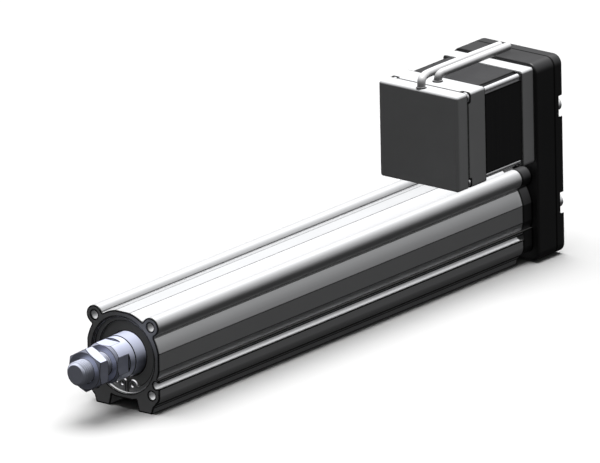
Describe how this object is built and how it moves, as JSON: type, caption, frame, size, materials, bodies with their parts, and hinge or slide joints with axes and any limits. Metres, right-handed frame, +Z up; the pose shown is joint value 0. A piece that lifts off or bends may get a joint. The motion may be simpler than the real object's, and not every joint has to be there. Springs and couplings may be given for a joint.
{
  "type": "electric rod actuator",
  "caption": "Electric rod actuator with a square motor on top, belt-driven ball screw, threaded rod end with lock nut, extruded body with switch grooves and feet, two cables",
  "frame": {"origin": "centre of the body's front face, on the rod's axis, which is the centre of the four tapped holes around the rod", "axes": "+X is the way the rod comes out, +Z is up from the feet through the motor, +Y is to the left when looking along +X"},
  "size_m": [0.402, 0.06, 0.1244],
  "materials": {
    "clear_anodised_aluminium": "clear anodised, fine satin with faint lengthwise draw lines",
    "machined_cast_aluminium": "machined cast aluminium, satin",
    "black_coating": "even black coating, semi-matt",
    "blackened_laminations": "blackened stacked steel sheet, semi-matt",
    "machined_steel": "turned steel with fine lathe lines",
    "plated_steel": "bright zinc plated steel",
    "hard_chrome": "hard chrome, ground",
    "black_oxide_screws": "black oxide, slightly oily",
    "ground_bearing_steel": "hardened and ground bearing steel",
    "black_rubber": "moulded black rubber, matt",
    "ivory_resin": "moulded ivory resin",
    "bearing_bronze": "sintered bearing bronze",
    "copper_wire": "enamelled copper wire",
    "dark_magnet": "sintered magnet, dark grey",
    "belt_rubber": "black belt rubber with a fabric tooth face",
    "green_board": "solder resist over glass laminate",
    "pale_cable_jacket": "smooth pale extruded jacket",
    "grey_plastic": "plain grey moulding"
  },
  "bodies": {
    "housing": {"body_tube": "clear_anodised_aluminium", "retaining_ring": "machined_steel", "rod_cover": "machined_cast_aluminium", "rod_seal": "black_rubber", "rod_bush": "bearing_bronze", "cover_o_ring": "black_rubber", "front_bumper": "black_rubber", "rear_bumper": "black_rubber", "bearing_housing": "machined_cast_aluminium", "screw_bearing_outer_races": "ground_bearing_steel", "bearing_retainer": "machined_steel", "return_box": "black_coating", "return_plate": "black_coating", "plate_bolts": "plated_steel", "box_bolts": "black_oxide_screws", "motor_screws": "black_oxide_screws", "timing_belt": "belt_rubber", "motor_front_flange": "machined_cast_aluminium", "motor_stator": "blackened_laminations", "motor_windings": "copper_wire", "motor_rear_flange": "machined_cast_aluminium", "motor_end_cover": "machined_cast_aluminium", "motor_tie_bolts": "plated_steel", "motor_bearing_outer_races": "ground_bearing_steel", "encoder_board": "green_board", "cable_collars": "grey_plastic", "motor_cable": "pale_cable_jacket", "encoder_cable": "pale_cable_jacket"},
    "rod": {"piston_rod": "hard_chrome", "rod_socket": "machined_steel", "rod_end_stud": "machined_steel", "rod_end_nut": "plated_steel", "piston": "machined_cast_aluminium", "wear_ring": "ivory_resin", "switch_magnet": "dark_magnet", "ball_nut": "ground_bearing_steel", "nut_screws": "black_oxide_screws", "rotation_stopper": "ivory_resin"},
    "screw": {"ball_screw": "ground_bearing_steel", "screw_tip_ring": "ivory_resin", "screw_bearing_inner_races": "ground_bearing_steel", "screw_lock_nut": "machined_steel", "screw_pulley": "machined_cast_aluminium", "screw_pulley_set_screw": "black_oxide_screws"},
    "screw_ball_cages": {"screw_bearing_balls": "ground_bearing_steel"},
    "motor_rotor": {"motor_shaft": "machined_steel", "rotor_cups": "blackened_laminations", "rotor_magnet": "dark_magnet", "motor_bearing_inner_races": "ground_bearing_steel", "motor_pulley": "machined_cast_aluminium", "motor_pulley_set_screw": "black_oxide_screws", "encoder_disc": "grey_plastic"},
    "motor_ball_cages": {"motor_bearing_balls": "ground_bearing_steel"}
  },
  "joints": [
    {"name": "rod_slide", "type": "slide", "parent": "housing", "child": "rod", "axis": [1, 0, 0], "range_m": [0, 0.2]},
    {"name": "screw_spin", "type": "hinge", "parent": "housing", "child": "screw", "pos_m": [-0.3, 0, 0], "axis": [1, 0, 0], "continuous": true, "deforming": ["timing_belt"]},
    {"name": "motor_spin", "type": "hinge", "parent": "housing", "child": "motor_rotor", "pos_m": [-0.3, 0, 0.0575], "axis": [1, 0, 0], "continuous": true},
    {"name": "screw_cage_spin", "type": "hinge", "parent": "housing", "child": "screw_ball_cages", "pos_m": [-0.3, 0, 0], "axis": [1, 0, 0], "continuous": true},
    {"name": "motor_cage_spin", "type": "hinge", "parent": "housing", "child": "motor_ball_cages", "pos_m": [-0.3, 0, 0.0575], "axis": [1, 0, 0], "continuous": true}
  ],
  "couplings": [
    {"joint": "screw_spin", "follows": "rod_slide", "rad_per_m": -392.7},
    {"joint": "motor_spin", "follows": "rod_slide", "rad_per_m": -392.7},
    {"joint": "screw_cage_spin", "follows": "rod_slide", "rad_per_m": -144.7},
    {"joint": "motor_cage_spin", "follows": "rod_slide", "rad_per_m": -145.47}
  ]
}
